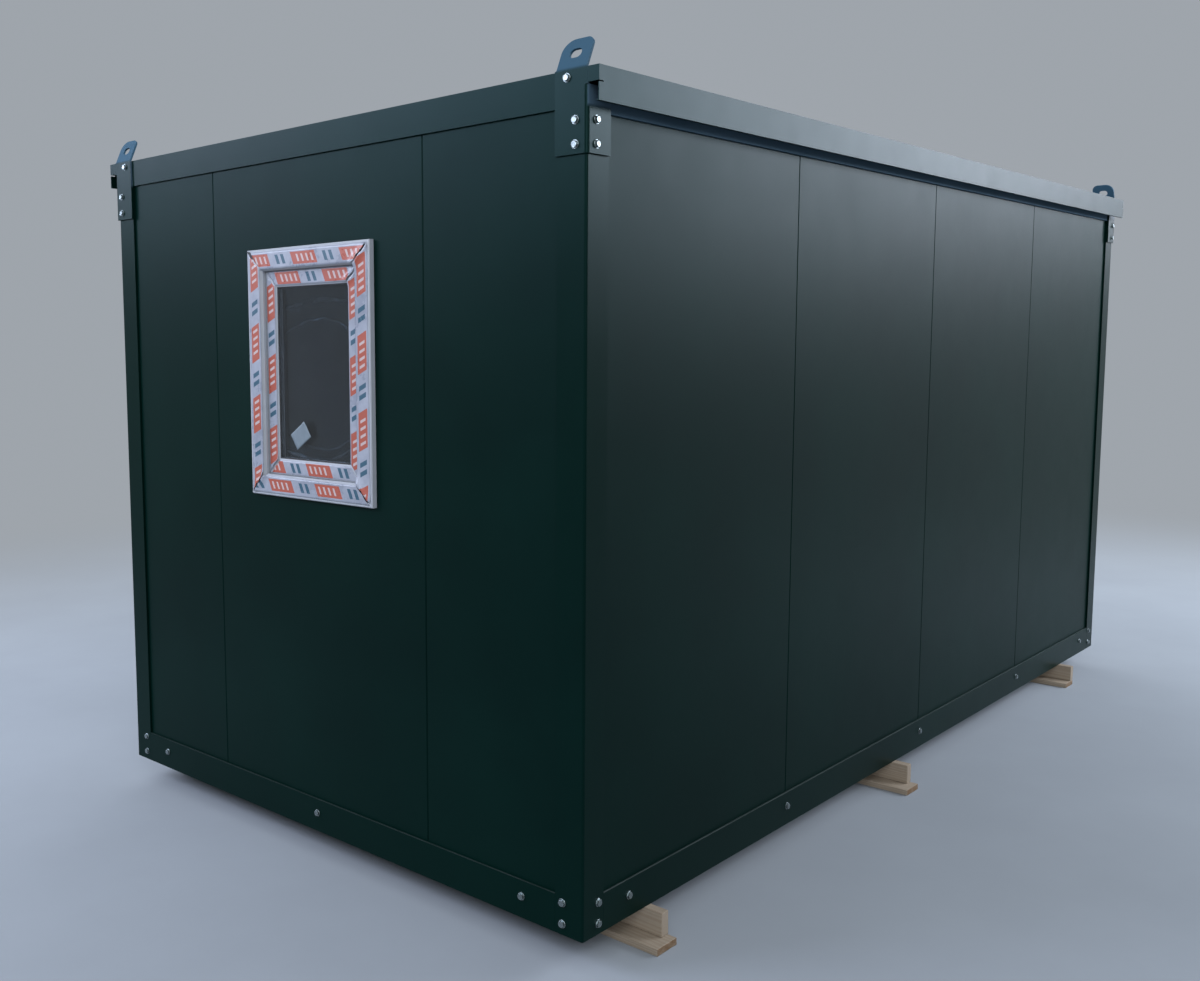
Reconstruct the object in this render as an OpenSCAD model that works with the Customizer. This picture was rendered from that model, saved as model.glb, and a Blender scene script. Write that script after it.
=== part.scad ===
// Portable site cabin: a folded steel frame on three timber bearers, sandwich wall panels,
// overhanging eaves, bolted corner plates with leaning lifting lugs, and a window in each end wall.
// X runs along the cabin, Y across it, and Z is up from the underside of the bearers.

/* [Overall] */
// Length over the corner posts
length = 4892; // [4700:2:5600]
// Width over the corner posts
width = 2436; // [2300:2:2500]
// Height of the steel frame, from the bottom rails' underside to the end rails' top
frame_h = 2554; // [2420:2:2800]

/* [Steel frame] */
// Thickness of the folded steel in posts and rails
steel_t = 4; // [3:0.5:5]
// Width of each outer face of a corner post
post_face = 105; // [96:1:130]
// Bend radius on a post's outer corner
post_bend = 8; // [5:1:12]
// Height of the bottom rails
rail_h = 122; // [110:1:150]
// Depth of the long top rails below the frame's top
long_rail_drop = 116; // [108:1:140]
// Depth of the end top rails below the frame's top
end_rail_drop = 102; // [95:1:140]
// Width of the top rails' lower flange
rail_flange = 90; // [84:1:110]
// Free play between pieces that slot together
fit = 0.5; // [0.3:0.1:1]

/* [Wall panels] */
// Thickness of a wall panel
panel_t = 60; // [50:1:70]
// How far the panels stand back from the frame's faces
recess = 9; // [6:1:14]
// Width of a panel in the long walls
panel_w = 1196; // [1060:2:1200]
// Width of the middle panel in an end wall
end_panel_w = 1126; // [1000:2:1200]
// Width of the bevel along each panel edge
seam_bevel = 3; // [2:0.5:5]
// Depth of a panel's tongue
tongue = 8; // [5:1:12]

/* [Roof and eaves] */
// How far the eaves stand out from the long walls
eaves_out = 47; // [30:1:60]
// Height of the eaves' front plate
eaves_h = 97; // [85:1:105]
// Thickness of the eaves' sheet
eaves_t = 3; // [2:0.5:4]
// Width of the eaves' top plate, laid over the roof
eaves_lap = 55; // [40:1:60]
// Height of the strip that closes each end of the eaves
end_strip_h = 43; // [41:1:50]
// Height of the roof sheet's ribs
rib_h = 35; // [25:1:36]
// Distance between the roof sheet's ribs
rib_pitch = 207; // [180:1:260]
// Thickness of the roof sheet
roof_t = 2; // [1.5:0.5:3]
// Thickness of the ceiling board
ceiling_t = 25; // [18:1:40]

/* [Corner plates and lugs] */
// Thickness of a corner plate
plate_t = 8; // [6:0.5:10]
// Width of a corner plate on the end wall
plate_end_w = 116; // [110:1:130]
// Width of a corner plate on the long wall
plate_side_w = 102; // [90:1:125]
// Depth of a corner plate below the frame's top
plate_drop = 234; // [220:1:260]
// Height of a lifting lug, along its slope
lug_rise = 99; // [90:1:115]
// Lean of a lifting lug towards the roof, in degrees
lug_lean = 24; // [10:1:35]
// Radius of a lug's rounder upper corner
lug_round = 43; // [30:1:46]
// Width of a lug's eye
eye_w = 42; // [36:1:50]
// Height of a lug's eye
eye_h = 30; // [24:1:34]
// Height of the eye's middle above the lug's bend
eye_up = 52; // [46:1:58]

/* [Floor] */
// Thickness of the floor board
floor_t = 22; // [18:1:30]
// Width of a floor joist
joist_w = 50; // [40:1:70]
// Number of floor joists
joists = 11; // [10:1:14]

/* [Timber bearers] */
// Thickness of the upper boards, which stand on edge
board_t = 38; // [30:1:60]
// Height of the upper boards
board_h = 80; // [60:1:120]
// How far the upper boards stick out past the long walls
board_out = 66; // [20:1:80]
// Width of the lower planks
plank_w = 110; // [90:1:150]
// Thickness of the lower planks
plank_t = 25; // [20:1:40]
// How far the first two lower planks stick out past the long walls
plank_out = 98; // [85:1:120]
// Distance from the left end to the first board's middle
board_x1 = 344; // [200:1:700]
// Distance from the left end to the second board's middle
board_x2 = 2190; // [1800:1:3000]
// Distance from the left end to the third board's middle
board_x3 = 4325; // [3800:1:4500]

/* [Windows] */
// Width of a window over its frame
win_w = 664; // [600:2:800]
// Height of a window over its frame
win_h = 904; // [800:2:1100]
// Height of a window's underside above the bottom rails' underside
win_up = 1237; // [1000:1:1300]
// Visible width of the window frame
win_frame_w = 78; // [60:1:90]
// Visible width of the sash
sash_w = 60; // [50:1:75]
// How far the window frame stands out from the panels
win_proud = 21; // [14:1:28]
// How far the window frame covers the panel round its opening
win_lap = 12; // [8:1:16]
// Thickness of the glazing
glass_t = 24; // [20:1:28]
// How deep the glazing sits in the sash
glass_bite = 12; // [8:1:16]

/* [Door] */
// Width over the door frame
door_w = 960; // [860:5:1000]
// Height over the door frame
door_h = 2080; // [1900:5:2150]
// Width of the door frame's face
door_frame_w = 50; // [40:1:60]
// Least height of the wall panel over the door frame, which a taller door lifts the roof to keep
door_head = 60; // [50:1:100]
// Thickness of the door leaf
leaf_t = 44; // [40:1:46]

/* [Hidden] */

half_l = length / 2;
half_w = width / 2;
base_z = board_h + plank_t;         // underside of the steel frame
tall = max(frame_h, rail_h + door_h + door_head + long_rail_drop);
top_z = base_z + tall;              // top of the end rails
rail_top = base_z + rail_h;         // ledge that the wall panels stand on
box_side = recess + panel_t;        // side of a post's inner box, flush with the panels inside
long_panel_h = tall - rail_h - long_rail_drop;
end_panel_h = tall - rail_h - end_rail_drop;
roof_z = top_z - eaves_t - rib_h - roof_t;  // underside of the roof sheet
post_top = top_z - eaves_t;
sash_back = 24;                     // sash's face behind the window frame's face
sash_front = 8;                     // glazing behind the sash's face
door_sill = 20;
door_rebate = 15;                   // step of the door frame, round the leaf and behind the face

green = [0.10, 0.19, 0.19];
pale_green = [0.36, 0.45, 0.48];
timber = [0.62, 0.52, 0.42];
window_white = [0.86, 0.86, 0.88];
inner_white = [0.80, 0.80, 0.78];
zinc = [0.66, 0.68, 0.70];
glass_tint = [0.35, 0.42, 0.45];
floor_grey = [0.42, 0.43, 0.42];

// Four mirror-image places round the cabin: sx is -1 on the left, sy is -1 at the front
module at_corner(sx, sy) {
    mirror([sx > 0 ? 1 : 0, 0, 0]) mirror([0, sy > 0 ? 1 : 0, 0])
        translate([-half_l, -half_w, 0]) children();
}

// Points of a quarter circle, for an outer corner at the origin of the first quadrant
function bend_points(r, steps = 6) =
    [for (i = [0 : steps]) [r - r * cos(90 * i / steps), r - r * sin(90 * i / steps)]];

// Corner post, seen from above, with its outer corner at the origin: two covering faces with
// lips that reach the panels, and a closed box between them
module post_outline() {
    difference() {
        union() {
            polygon(concat(bend_points(post_bend),
                [[post_face, 0], [post_face, recess], [0, recess]]));
            polygon(concat([[0, post_bend]], [[recess, 0], [recess, post_face], [0, post_face]]));
            translate([steel_t, steel_t]) square(box_side - steel_t);
        }
        // open space behind each covering face
        translate([box_side, steel_t])
            square([post_face - box_side - steel_t, box_side]);
        translate([steel_t, box_side])
            square([box_side, post_face - box_side - steel_t]);
        // inside of the box
        translate([steel_t, steel_t]) square(box_side - 2 * steel_t);
    }
}

module post(sx, sy) {
    color(green) at_corner(sx, sy) translate([0, 0, base_z])
        linear_extrude(post_top - base_z) post_outline();
}

// What is cut away from a lug, in its own plane with the bend along y = 0: a flared relief on
// both sides, a tight and a wide rounded corner, and the round-ended eye
module lug_cuts() {
    relief = 5;
    lift = relief + 1;
    tight_r = 24;
    tight = [relief + tight_r, lug_rise - tight_r];
    far = plate_end_w - relief;
    wide = [far - lug_round, lug_rise - lug_round];
    over = lug_rise + 1;
    flare = [for (a = [-97.5 : 15 : 0]) relief * [cos(a), sin(a)]];
    polygon(concat([[-relief, lift - relief]], [for (p = flare) [p[0], lift + p[1]]],
        [[relief, lift]],
        [for (a = [180 : -10 : 100]) tight + tight_r * [cos(a), sin(a)]],
        [[tight[0] + tight_r / 2, over], [-relief, over]]));
    polygon(concat([[plate_end_w + relief, lift - relief]],
        [for (p = flare) [plate_end_w - p[0], lift + p[1]]], [[far, lift]],
        [for (a = [0 : 8 : 80]) wide + lug_round * [cos(a), sin(a)]],
        [[wide[0] - lug_round / 2, over], [plate_end_w + relief, over]]));
    translate([plate_end_w / 2, eye_up]) {
        square([eye_w - eye_h, eye_h], center = true);
        for (side = [-1, 1]) translate([side * (eye_w - eye_h) / 2, 0]) circle(d = eye_h, $fn = 48);
    }
}

// Corner plate: an angle over the post's top, whose end leg runs up into the leaning lug.
// Every lug is the same pressing, so the wide corner faces the rear on the left and the front
// on the right.
module corner_plate(sx, sy) {
    side_h = plate_drop - end_strip_h - plate_t / 2;
    bend_r = 11;
    turned = sx * sy > 0 ? 0 : 1;
    tip = [lug_rise * sin(lug_lean), lug_rise * cos(lug_lean)];
    color(pale_green) at_corner(sx, sy) translate([-plate_t, -plate_t, top_z]) difference() {
        union() {
            translate([0, plate_end_w, 0]) rotate([90, 0, 0]) linear_extrude(plate_end_w)
                polygon([[0, -plate_drop], [0, 0], tip,
                    tip + plate_t * [cos(lug_lean), -sin(lug_lean)],
                    [plate_t, -plate_t * tan(lug_lean / 2)], [plate_t, -plate_drop]]);
            translate([0, 0, -plate_drop]) cube([plate_side_w + plate_t, plate_t, side_h]);
        }
        // outer bend between the two legs
        translate([0, 0, -plate_drop - 1]) linear_extrude(side_h + 1)
            polygon(concat([[-1, -1], [-1, bend_r]], bend_points(bend_r), [[bend_r, -1]]));
        rotate([0, lug_lean, 0]) translate([0, turned * plate_end_w, 0]) mirror([0, turned, 0])
            rotate([90, 0, 90]) translate([0, 0, -1]) linear_extrude(plate_t + 2) lug_cuts();
    }
}

// Bottom rail, a channel with its web outside and its outer lower edge at the origin, along +X
module bottom_rail(span) {
    rotate([90, 0, 90]) linear_extrude(span) polygon([[0, 0], [box_side, 0], [box_side, steel_t],
        [steel_t, steel_t], [steel_t, rail_h - steel_t], [box_side, rail_h - steel_t],
        [box_side, rail_h], [0, rail_h]]);
}

module long_bottom_rail(sy) {
    color(green) at_corner(-1, sy) translate([post_face + fit, 0, base_z])
        bottom_rail(length - 2 * (post_face + fit));
}

module end_bottom_rail(sx) {
    color(green) at_corner(sx, -1) translate([0, post_face + fit, base_z])
        mirror([1, -1, 0]) bottom_rail(width - 2 * (post_face + fit));
}

// Long top rail: the wall panels stop under its lower flange, which also carries the ceiling,
// and the roof sheet lies on its upper one
module long_top_rail(sy) {
    rail = roof_z - (top_z - long_rail_drop);
    color(green) at_corner(-1, sy) translate([post_face + fit, 0, top_z - long_rail_drop])
        rotate([90, 0, 90]) linear_extrude(length - 2 * (post_face + fit))
            polygon([[0, 0], [rail_flange, 0], [rail_flange, steel_t], [steel_t, steel_t],
                [steel_t, rail - steel_t], [box_side, rail - steel_t], [box_side, rail], [0, rail]]);
}

// End top rail: a channel flush with the posts, standing past the roof's edge
module end_top_rail(sx) {
    color(green) at_corner(sx, -1) translate([0, post_face + fit, top_z - end_rail_drop])
        mirror([1, -1, 0]) rotate([90, 0, 90]) linear_extrude(width - 2 * (post_face + fit))
            polygon([[0, 0], [box_side, 0], [box_side, steel_t], [steel_t, steel_t],
                [steel_t, end_rail_drop - steel_t], [box_side, end_rail_drop - steel_t],
                [box_side, end_rail_drop], [0, end_rail_drop]]);
}

// Eaves: a folded sheet over the roof's edge, with a drip lip and a strip that closes each end.
// A slit in the front plate parts the strip's fold from the plate below.
module eaves(sy) {
    lip = 10;
    slit_w = 20;
    slit_h = 4;
    color(pale_green) at_corner(-1, sy) difference() {
        union() {
            translate([-plate_t, 0, top_z]) rotate([90, 0, 90]) linear_extrude(length + 2 * plate_t)
                polygon([[eaves_lap, 0], [-eaves_out, 0], [-eaves_out, -eaves_h],
                    [lip - eaves_out, -eaves_h], [lip - eaves_out, eaves_t - eaves_h],
                    [eaves_t - eaves_out, eaves_t - eaves_h], [eaves_t - eaves_out, -eaves_t],
                    [eaves_lap, -eaves_t]]);
            for (x = [-plate_t, length + plate_t - eaves_t])
                translate([x, -eaves_out, top_z - end_strip_h])
                    cube([eaves_t, eaves_out - fit, end_strip_h]);
        }
        // room for the corner plates, which the ends stand flush with
        for (x = [-plate_t - 1, length]) translate([x, -plate_t - fit, top_z - eaves_h - 1])
            cube([plate_t + 1, eaves_lap + plate_t + fit + 1, eaves_h + 2]);
        for (x = [-plate_t - 1, length + plate_t - slit_w])
            translate([x, -eaves_out - 1, top_z - end_strip_h - slit_h])
                cube([slit_w + 1, eaves_t + 2, slit_h]);
    }
}

// Outline of the ribbed roof sheet along X, from flute to flute: the ribs run across the cabin
module roof_outline(run) {
    ribs = floor((run - rib_pitch / 2) / rib_pitch);
    start = (run - (ribs - 1) * rib_pitch) / 2;
    foot = 35;
    crown = 20;
    upper = [for (i = [0 : ribs - 1]) let (x = start + i * rib_pitch)
        each [[x - foot, 0], [x - crown, rib_h], [x + crown, rib_h], [x + foot, 0]]];
    line = concat([[0, 0]], upper, [[run, 0]]);
    polygon(concat([for (p = line) [p[0], p[1] + roof_t]],
        [for (i = [len(line) - 1 : -1 : 0]) line[i]]));
}

module roof_sheet() {
    run = length - 2 * (box_side + fit);
    reach = width + 2 * (eaves_out - eaves_t - fit);
    color(zinc) translate([-run / 2, reach / 2, roof_z]) rotate([90, 0, 0])
        linear_extrude(reach) roof_outline(run);
}

module ceiling_board() {
    run = length - 2 * (box_side + fit);
    across = width - 2 * (box_side + fit);
    color(inner_white) translate([-run / 2, -across / 2, top_z - long_rail_drop + steel_t])
        cube([run, across, ceiling_t]);
}

module floor_board() {
    run = length - 2 * (box_side + fit);
    across = width - 2 * (box_side + fit);
    color(floor_grey) translate([-run / 2, -across / 2, rail_top - floor_t])
        cube([run, across, floor_t]);
}

// Joists stand on the bottom rails' lower flange, under the floor board
module floor_joists() {
    across = width - 2 * (steel_t + fit);
    first = box_side + joist_w;
    step = (length - 2 * first) / (joists - 1);
    color(green) for (i = [0 : joists - 1])
        translate([-half_l + first + i * step - joist_w / 2, -across / 2, base_z + steel_t])
            cube([joist_w, across, rail_h - steel_t - floor_t]);
}

// A wall panel between x0 and x1 along a wall, with its outer face at y = 0: it has a groove
// on its first edge, a tongue on its second, and bevelled outer edges. An end flag squares it.
module panel(x0, x1, tall, square_start = false, square_end = false) {
    gap = fit;
    a = x0 + (square_start ? 0 : gap);
    b = x1 - (square_end ? 0 : gap);
    third = panel_t / 3;
    start = square_start ? [[a, panel_t], [a, 0]] : [[a, panel_t], [a, 2 * third + gap],
        [a + tongue, 2 * third + gap], [a + tongue, third - gap], [a, third - gap],
        [a, seam_bevel], [a + seam_bevel, 0]];
    finish = square_end ? [[b, 0], [b, panel_t]] : [[b - seam_bevel, 0], [b, seam_bevel], [b, third],
        [b + tongue - gap, third], [b + tongue - gap, 2 * third], [b, 2 * third], [b, panel_t]];
    linear_extrude(tall) polygon(concat(start, finish));
}

// Long wall: panel i of 4, counted from the left
module long_panel(sy, i) {
    seams = [box_side + fit, half_l - panel_w, half_l, half_l + panel_w, length - box_side - fit];
    color(green) at_corner(-1, sy) translate([0, recess, rail_top])
        panel(seams[i - 1], seams[i], long_panel_h, i == 1, i == 4);
}

// The bay right of the middle, in the rear wall, has the doorway cut through it
module rear_door_panel() {
    difference() {
        long_panel(1, 3);
        translate([panel_w / 2 - door_w / 2, half_w - box_side - 1, rail_top - 1])
            cube([door_w, panel_t + recess + 2, door_h + 1]);
    }
}

// End wall: panel i of 3, counted from the front, on the left (sx -1) or right end
module end_panel(sx, i) {
    seams = [box_side + fit, half_w - end_panel_w / 2, half_w + end_panel_w / 2,
        width - box_side - fit];
    color(green) at_corner(sx, -1) translate([recess, 0, rail_top]) mirror([1, -1, 0])
        panel(seams[i - 1], seams[i], end_panel_h, i == 1, i == 3);
}

module window_panel(sx) {
    open_w = win_w - 2 * win_lap;
    open_h = win_h - 2 * win_lap;
    difference() {
        end_panel(sx, 2);
        at_corner(sx, -1) translate([0, half_w - open_w / 2, base_z + win_up + win_lap])
            cube([box_side + 1, open_w, open_h]);
    }
}

// Ring with mitred corners round a w by h opening: the profile's first coordinate runs
// inwards from the ring's outer edge, its second from the outside of the wall to the inside
module mitred_ring(w, h) {
    for (turn = [0 : 3]) {
        long = turn % 2 == 0 ? w : h;
        deep = turn % 2 == 0 ? h : w;
        reach = min(w, h) / 2;
        rotate([0, 0, 90 * turn]) intersection() {
            translate([-long / 2, -deep / 2, 0]) rotate([90, 0, 90])
                linear_extrude(long) children();
            linear_extrude(w + h, center = true) polygon([[-long / 2, -deep / 2],
                [long / 2, -deep / 2], [long / 2 - reach, reach - deep / 2],
                [reach - long / 2, reach - deep / 2]]);
        }
    }
}

// Places a window's outline in an end wall: Z of the child runs into the room
module in_end_wall(sx) {
    at_corner(sx, -1) translate([recess - win_proud, half_w, base_z + win_up + win_h / 2])
        rotate([90, 0, 90]) children();
}

module window_frame(sx) {
    edge = 3;
    slope = [9, 11];
    depth = win_proud + panel_t + 3;
    color(window_white) in_end_wall(sx) mitred_ring(win_w, win_h)
        polygon([[0, edge], [edge, 0], [win_frame_w - slope[0], 0], [win_frame_w, slope[1]],
            [win_frame_w, depth], [win_lap + fit, depth], [win_lap + fit, win_proud],
            [0, win_proud]]);
}

module window_sash(sx) {
    bead = 8;
    tip = 2;                            // thickness of the bead's edge on the glazing
    depth = sash_front + glass_t + glass_bite;
    w = win_w - 2 * (win_frame_w + fit);
    h = win_h - 2 * (win_frame_w + fit);
    edge = 2;
    seat = fit / 2;
    color(window_white) in_end_wall(sx) translate([0, 0, sash_back]) mitred_ring(w, h)
        polygon([[0, edge], [edge, 0], [sash_w - bead, 0], [sash_w, sash_front - tip],
            [sash_w, sash_front - seat], [sash_w - glass_bite - fit, sash_front - seat],
            [sash_w - glass_bite - fit, sash_front + glass_t + seat],
            [sash_w, sash_front + glass_t + seat], [sash_w, depth - bead],
            [sash_w - bead, depth], [0, depth]]);
}

module window_panes() {
    w = win_w - 2 * (win_frame_w + fit + sash_w - glass_bite);
    h = win_h - 2 * (win_frame_w + fit + sash_w - glass_bite);
    color(glass_tint) for (sx = [-1, 1]) in_end_wall(sx)
        translate([-w / 2, -h / 2, sash_back + sash_front]) cube([w, h, glass_t]);
}

// Places the door's outline in the rear wall: Z of the child runs into the room
module in_rear_wall() {
    translate([panel_w / 2, half_w - recess, rail_top]) rotate([90, 0, 0]) children();
}

// Frame with a sill and a step round its opening, which the leaf closes against
module door_frame() {
    narrow = door_w - 2 * door_frame_w;
    clear_h = door_h - door_frame_w - door_sill;
    color(green) in_rear_wall() difference() {
        translate([-door_w / 2 + fit, 0, -recess + fit])
            cube([door_w - 2 * fit, door_h - fit, panel_t + recess - fit]);
        translate([-narrow / 2, door_sill, -recess - 1])
            cube([narrow, clear_h, panel_t + recess + 2]);
        translate([-narrow / 2 - door_rebate, door_sill, door_rebate - recess])
            cube([narrow + 2 * door_rebate, clear_h + door_rebate, panel_t + recess + 2]);
    }
}

module door_leaf() {
    play = 3;
    leaf_w = door_w - 2 * (door_frame_w - door_rebate + play);
    leaf_h = door_h - door_frame_w - door_sill + door_rebate - 2 * play;
    color(green) in_rear_wall()
        translate([-leaf_w / 2, door_sill + play, door_rebate - recess + fit])
            cube([leaf_w, leaf_h, leaf_t]);
}

// A lever on a narrow plate, outside and inside
module door_handles() {
    hand_z = 1020;
    from_edge = 45;
    plate = [30, 180, 6];
    bar_d = 18;
    reach = 50;
    lever = 120;
    color(zinc) in_rear_wall()
        translate([door_frame_w + from_edge - door_w / 2, hand_z, door_rebate - recess + fit])
            for (inner = [0, 1]) translate([0, 0, inner * leaf_t]) mirror([0, 0, 1 - inner]) {
                translate([-plate[0] / 2, -plate[1] / 2, 0]) cube(plate);
                cylinder(d = bar_d, h = reach, $fn = 32);
                translate([0, 0, reach - bar_d / 2]) rotate([0, 90, 0])
                    cylinder(d = bar_d, h = lever, $fn = 32);
            }
}

// Timber bearers across the cabin: a board on edge over a wider plank, flush on the right.
// The third plank is cut off with its board, and the others stick out further.
module bearer_boards() {
    color(timber) for (x = [board_x1, board_x2, board_x3])
        translate([x - half_l - board_t / 2, -half_w - board_out, plank_t])
            cube([board_t, width + 2 * board_out, board_h]);
}

module bearer_planks() {
    color(timber) for (x = [board_x1, board_x2, board_x3])
        let (out = x == board_x3 ? board_out : plank_out)
            translate([x - half_l + board_t / 2 - plank_w, -half_w - out, 0])
                cube([plank_w, width + 2 * out, plank_t]);
}

post(-1, -1);  // post_front_left
post(1, -1);  // post_front_right
post(-1, 1);  // post_rear_left
post(1, 1);  // post_rear_right
corner_plate(-1, -1);  // corner_plate_front_left
corner_plate(1, -1);  // corner_plate_front_right
corner_plate(-1, 1);  // corner_plate_rear_left
corner_plate(1, 1);  // corner_plate_rear_right
long_bottom_rail(-1);  // bottom_rail_front
long_bottom_rail(1);  // bottom_rail_rear
end_bottom_rail(-1);  // bottom_rail_left
end_bottom_rail(1);  // bottom_rail_right
long_top_rail(-1);  // top_rail_front
long_top_rail(1);  // top_rail_rear
end_top_rail(-1);  // top_rail_left
end_top_rail(1);  // top_rail_right
eaves(-1);  // eaves_front
eaves(1);  // eaves_rear
roof_sheet();
ceiling_board();
floor_board();
floor_joists();
long_panel(-1, 1);  // front_panel_1
long_panel(-1, 2);  // front_panel_2
long_panel(-1, 3);  // front_panel_3
long_panel(-1, 4);  // front_panel_4
long_panel(1, 1);  // rear_panel_1
long_panel(1, 2);  // rear_panel_2
rear_door_panel();
long_panel(1, 4);  // rear_panel_4
end_panel(-1, 1);  // left_panel_front
window_panel(-1);  // left_window_panel
end_panel(-1, 3);  // left_panel_rear
end_panel(1, 1);  // right_panel_front
window_panel(1);  // right_window_panel
end_panel(1, 3);  // right_panel_rear
window_frame(-1);  // left_window_frame
window_sash(-1);  // left_window_sash
window_frame(1);  // right_window_frame
window_sash(1);  // right_window_sash
window_panes();
door_frame();
door_leaf();
door_handles();
bearer_boards();
bearer_planks();
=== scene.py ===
# Portable site cabin: finishes, bolts, window film, glazing, timber and roof fixings round the
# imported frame. Lengths are in metres, with Z up from the ground.
import math
import random

import bmesh
import bpy
from mathutils import Matrix, Vector, noise


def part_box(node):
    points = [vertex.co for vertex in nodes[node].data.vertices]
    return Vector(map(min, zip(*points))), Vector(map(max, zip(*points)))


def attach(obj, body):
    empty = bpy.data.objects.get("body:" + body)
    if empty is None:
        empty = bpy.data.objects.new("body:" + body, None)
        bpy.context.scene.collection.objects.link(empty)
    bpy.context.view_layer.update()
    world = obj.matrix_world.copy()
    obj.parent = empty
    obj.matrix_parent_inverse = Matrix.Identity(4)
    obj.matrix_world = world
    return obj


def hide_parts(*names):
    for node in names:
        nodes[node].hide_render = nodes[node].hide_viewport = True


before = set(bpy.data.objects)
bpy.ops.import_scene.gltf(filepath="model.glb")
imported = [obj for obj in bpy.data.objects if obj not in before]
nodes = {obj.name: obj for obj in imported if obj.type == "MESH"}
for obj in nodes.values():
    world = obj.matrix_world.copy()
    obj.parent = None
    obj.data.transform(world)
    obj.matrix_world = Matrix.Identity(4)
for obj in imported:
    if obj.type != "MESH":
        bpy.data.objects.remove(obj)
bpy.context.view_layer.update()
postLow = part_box("post_front_left")[0]
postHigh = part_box("post_rear_right")[1]
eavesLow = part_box("eaves_rear")[0]
print("frame loaded:", len(nodes), "nodes")


def newMaterial(name):
    material = bpy.data.materials.new(name)
    material.use_nodes = True
    tree = material.node_tree
    return material, tree, tree.nodes["Principled BSDF"]


def setInputs(tree, node, values):
    # Each input takes a link from a socket, a colour or a plain value
    for key, value in values.items():
        target = node.inputs[key]
        if isinstance(value, bpy.types.NodeSocket):
            tree.links.new(value, target)
        elif target.type == "RGBA":
            target.default_value = (*value, 1.0)
        else:
            target.default_value = value


def addNode(tree, kind, inputs=None, **settings):
    node = tree.nodes.new(kind)
    for key, value in settings.items():
        setattr(node, key, value)
    setInputs(tree, node, inputs or {})
    return node


def calc(tree, operation, first, second=0.0):
    return addNode(tree, "ShaderNodeMath", {0: first, 1: second}, operation=operation).outputs[0]


def vectorCalc(tree, operation, inputs):
    return addNode(tree, "ShaderNodeVectorMath", inputs, operation=operation)


def within(tree, value, limit):
    # 1 where the value is nearer to zero than the limit, on either side
    return calc(tree, "LESS_THAN", calc(tree, "ABSOLUTE", value), limit)


def axesOf(tree, vector):
    return addNode(tree, "ShaderNodeSeparateXYZ", {0: vector}).outputs


def facing(tree, axis, kind="Normal"):
    # How far the surface faces along one axis
    return axesOf(tree, addNode(tree, "ShaderNodeNewGeometry").outputs[kind])[axis]


def objectPoint(tree, stretch=(1, 1, 1)):
    # Place on the object in metres, scaled along each axis
    place = addNode(tree, "ShaderNodeTexCoord").outputs["Object"]
    return addNode(tree, "ShaderNodeMapping", {"Vector": place, "Scale": stretch}).outputs["Vector"]


def grain(tree, vector, scale, detail=3.0, rough=0.5):
    return addNode(tree, "ShaderNodeTexNoise", {"Vector": vector, "Scale": scale, "Detail": detail,
                                                "Roughness": rough}).outputs["Fac"]


def remap(tree, value, fromLow, fromHigh, toLow=0.0, toHigh=1.0):
    return addNode(tree, "ShaderNodeMapRange", {
        "Value": value, "From Min": fromLow, "From Max": fromHigh, "To Min": toLow,
        "To Max": toHigh}).outputs["Result"]


def blendColours(tree, amount, first, second):
    # The mix node in its colour mode: 6 and 7 are its two colours, and 2 its result
    return addNode(tree, "ShaderNodeMix", {0: amount, 6: first, 7: second}, data_type="RGBA").outputs[2]


def addBump(tree, height, distance, strength=1.0, normal=None):
    inputs = {"Height": height, "Distance": distance, "Strength": strength}
    if normal is not None:
        inputs["Normal"] = normal
    return addNode(tree, "ShaderNodeBump", inputs).outputs["Normal"]


def makePiece(name, bm, material, smooth=False, thickness=0.0):
    bmesh.ops.recalc_face_normals(bm, faces=bm.faces)
    mesh = bpy.data.meshes.new(name)
    bm.to_mesh(mesh)
    bm.free()
    for face in mesh.polygons:
        face.use_smooth = smooth
    mesh.materials.append(material)
    piece = bpy.data.objects.new(name, mesh)
    bpy.context.scene.collection.objects.link(piece)
    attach(piece, "root")
    if thickness:
        piece.modifiers.new("thickness", "SOLIDIFY").thickness = thickness
    return piece


def addSheet(bm, columns, rows, spotAt, uvLayer=None):
    # A grid of faces; spotAt gives a corner's place, and its place on the print or None
    grid = []
    for i in range(columns + 1):
        line = [spotAt(i, j) for j in range(rows + 1)]
        grid.append([(bm.verts.new(spot), uv) for spot, uv in line])
    for i in range(columns):
        for j in range(rows):
            corners = (grid[i][j], grid[i + 1][j], grid[i + 1][j + 1], grid[i][j + 1])
            face = bm.faces.new([vertex for vertex, uv in corners])
            if uvLayer:
                for loop, (vertex, uv) in zip(face.loops, corners):
                    loop[uvLayer].uv = uv


def joinRings(bm, rings, closed=False):
    # Walls from ring to ring of corners: a closed chain of rings, or one with faces at its ends
    count = len(rings[0])
    for low, high in zip(rings, rings[1:] + rings[:1] if closed else rings[1:]):
        for i in range(count):
            j = (i + 1) % count
            bm.faces.new((low[i], low[j], high[j], high[i]))
    if not closed:
        bm.faces.new(rings[-1])
        bm.faces.new(reversed(rings[0]))


def ringRound(bm, centre, turn, segments, spotAt):
    # One ring of corners round an axis; spotAt gives radius and rise at an angle
    ring = []
    for i in range(segments):
        angle = 2 * math.pi * i / segments
        radius, rise = spotAt(angle)
        local = Vector((radius * math.cos(angle), radius * math.sin(angle), rise))
        ring.append(bm.verts.new(Vector(centre) + turn @ local))
    return ring


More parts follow.
